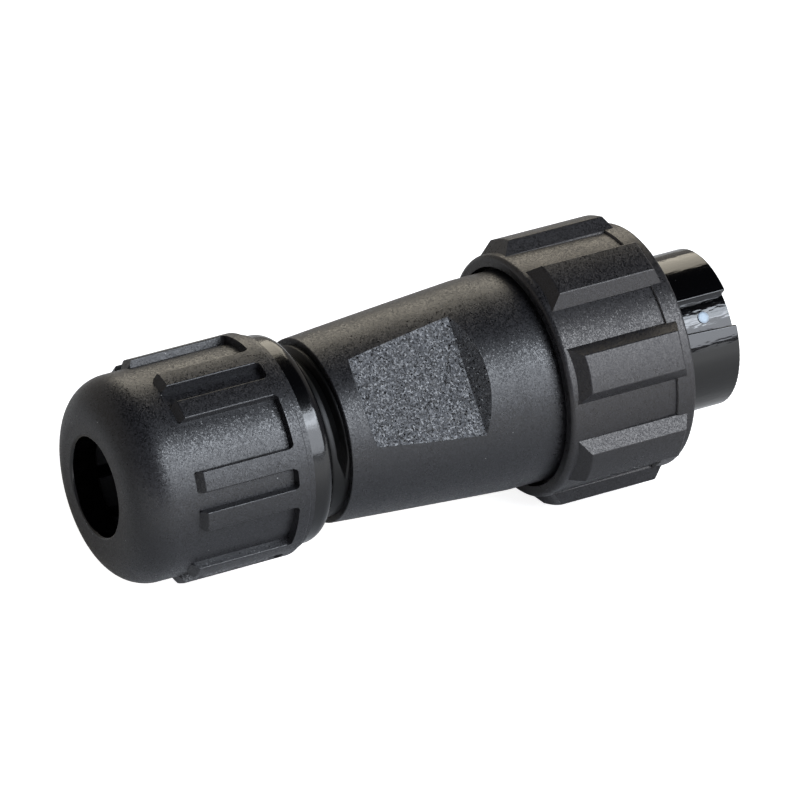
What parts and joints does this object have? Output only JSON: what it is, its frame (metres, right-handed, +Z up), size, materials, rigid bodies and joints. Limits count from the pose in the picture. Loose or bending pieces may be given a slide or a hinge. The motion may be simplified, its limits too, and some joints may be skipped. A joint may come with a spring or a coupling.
{
  "type": "circular cable connector",
  "caption": "Round cable connector with a screw coupling ring, a keyed nose round recessed pins, a tapered body with two flats and a domed cable gland nut.",
  "frame": {"origin": "centre of the front edge of the mating nose", "axes": "+X along the connector's axis, from the cable end to the mating nose; +Z up as it lies"},
  "size_m": [0.0751, 0.0292, 0.0292],
  "materials": {
    "shell_plastic": "black nylon with a fine matte grain",
    "ring_plastic": "black nylon with a fine matte grain",
    "nut_plastic": "black nylon, matte with a smooth lip",
    "insert_plastic": "polished black plastic",
    "inner_plastic": "plain dark nylon",
    "seal_rubber": "soft black rubber",
    "contact_metal": "turned brass with a thin silvery plating",
    "screw_steel": "zinc plated steel",
    "spring_steel": "hardened spring steel",
    "dot_paint": "pale blue white paint"
  },
  "bodies": {
    "root": {"back_shell": "shell_plastic", "contact_insert": "insert_plastic", "contact_plate": "inner_plastic", "lock_ring": "inner_plastic", "retaining_ring": "spring_steel", "cable_seal": "seal_rubber", "alignment_dot": "dot_paint", "front_seal": "seal_rubber", "insert_seal": "seal_rubber", "line_pin_1": "contact_metal", "line_pin_2": "contact_metal", "line_pin_3": "contact_metal", "earth_pin": "contact_metal", "terminal_screw_1": "screw_steel", "terminal_screw_2": "screw_steel", "terminal_screw_3": "screw_steel", "terminal_screw_4": "screw_steel"},
    "coupling_ring": {"coupling_ring": "ring_plastic"},
    "clamp_cage": {"clamp_cage": "inner_plastic"},
    "gland_nut": {"gland_nut": "nut_plastic"}
  },
  "joints": [
    {"name": "coupling_ring_turn", "type": "hinge", "parent": "root", "child": "coupling_ring", "pos_m": [-0.016, 0, 0], "axis": [1, 0, 0], "continuous": true},
    {"name": "gland_feed", "type": "slide", "parent": "root", "child": "clamp_cage", "axis": [1, 0, 0], "range_m": [-0.00605, 0.00245]},
    {"name": "gland_nut_turn", "type": "hinge", "parent": "clamp_cage", "child": "gland_nut", "pos_m": [-0.064, 0, 0], "axis": [1, 0, 0], "range_deg": [-1080, 432]}
  ],
  "couplings": [
    {"joint": "gland_feed", "follows": "gland_nut_turn", "m_per_rad": 0.00031831}
  ]
}
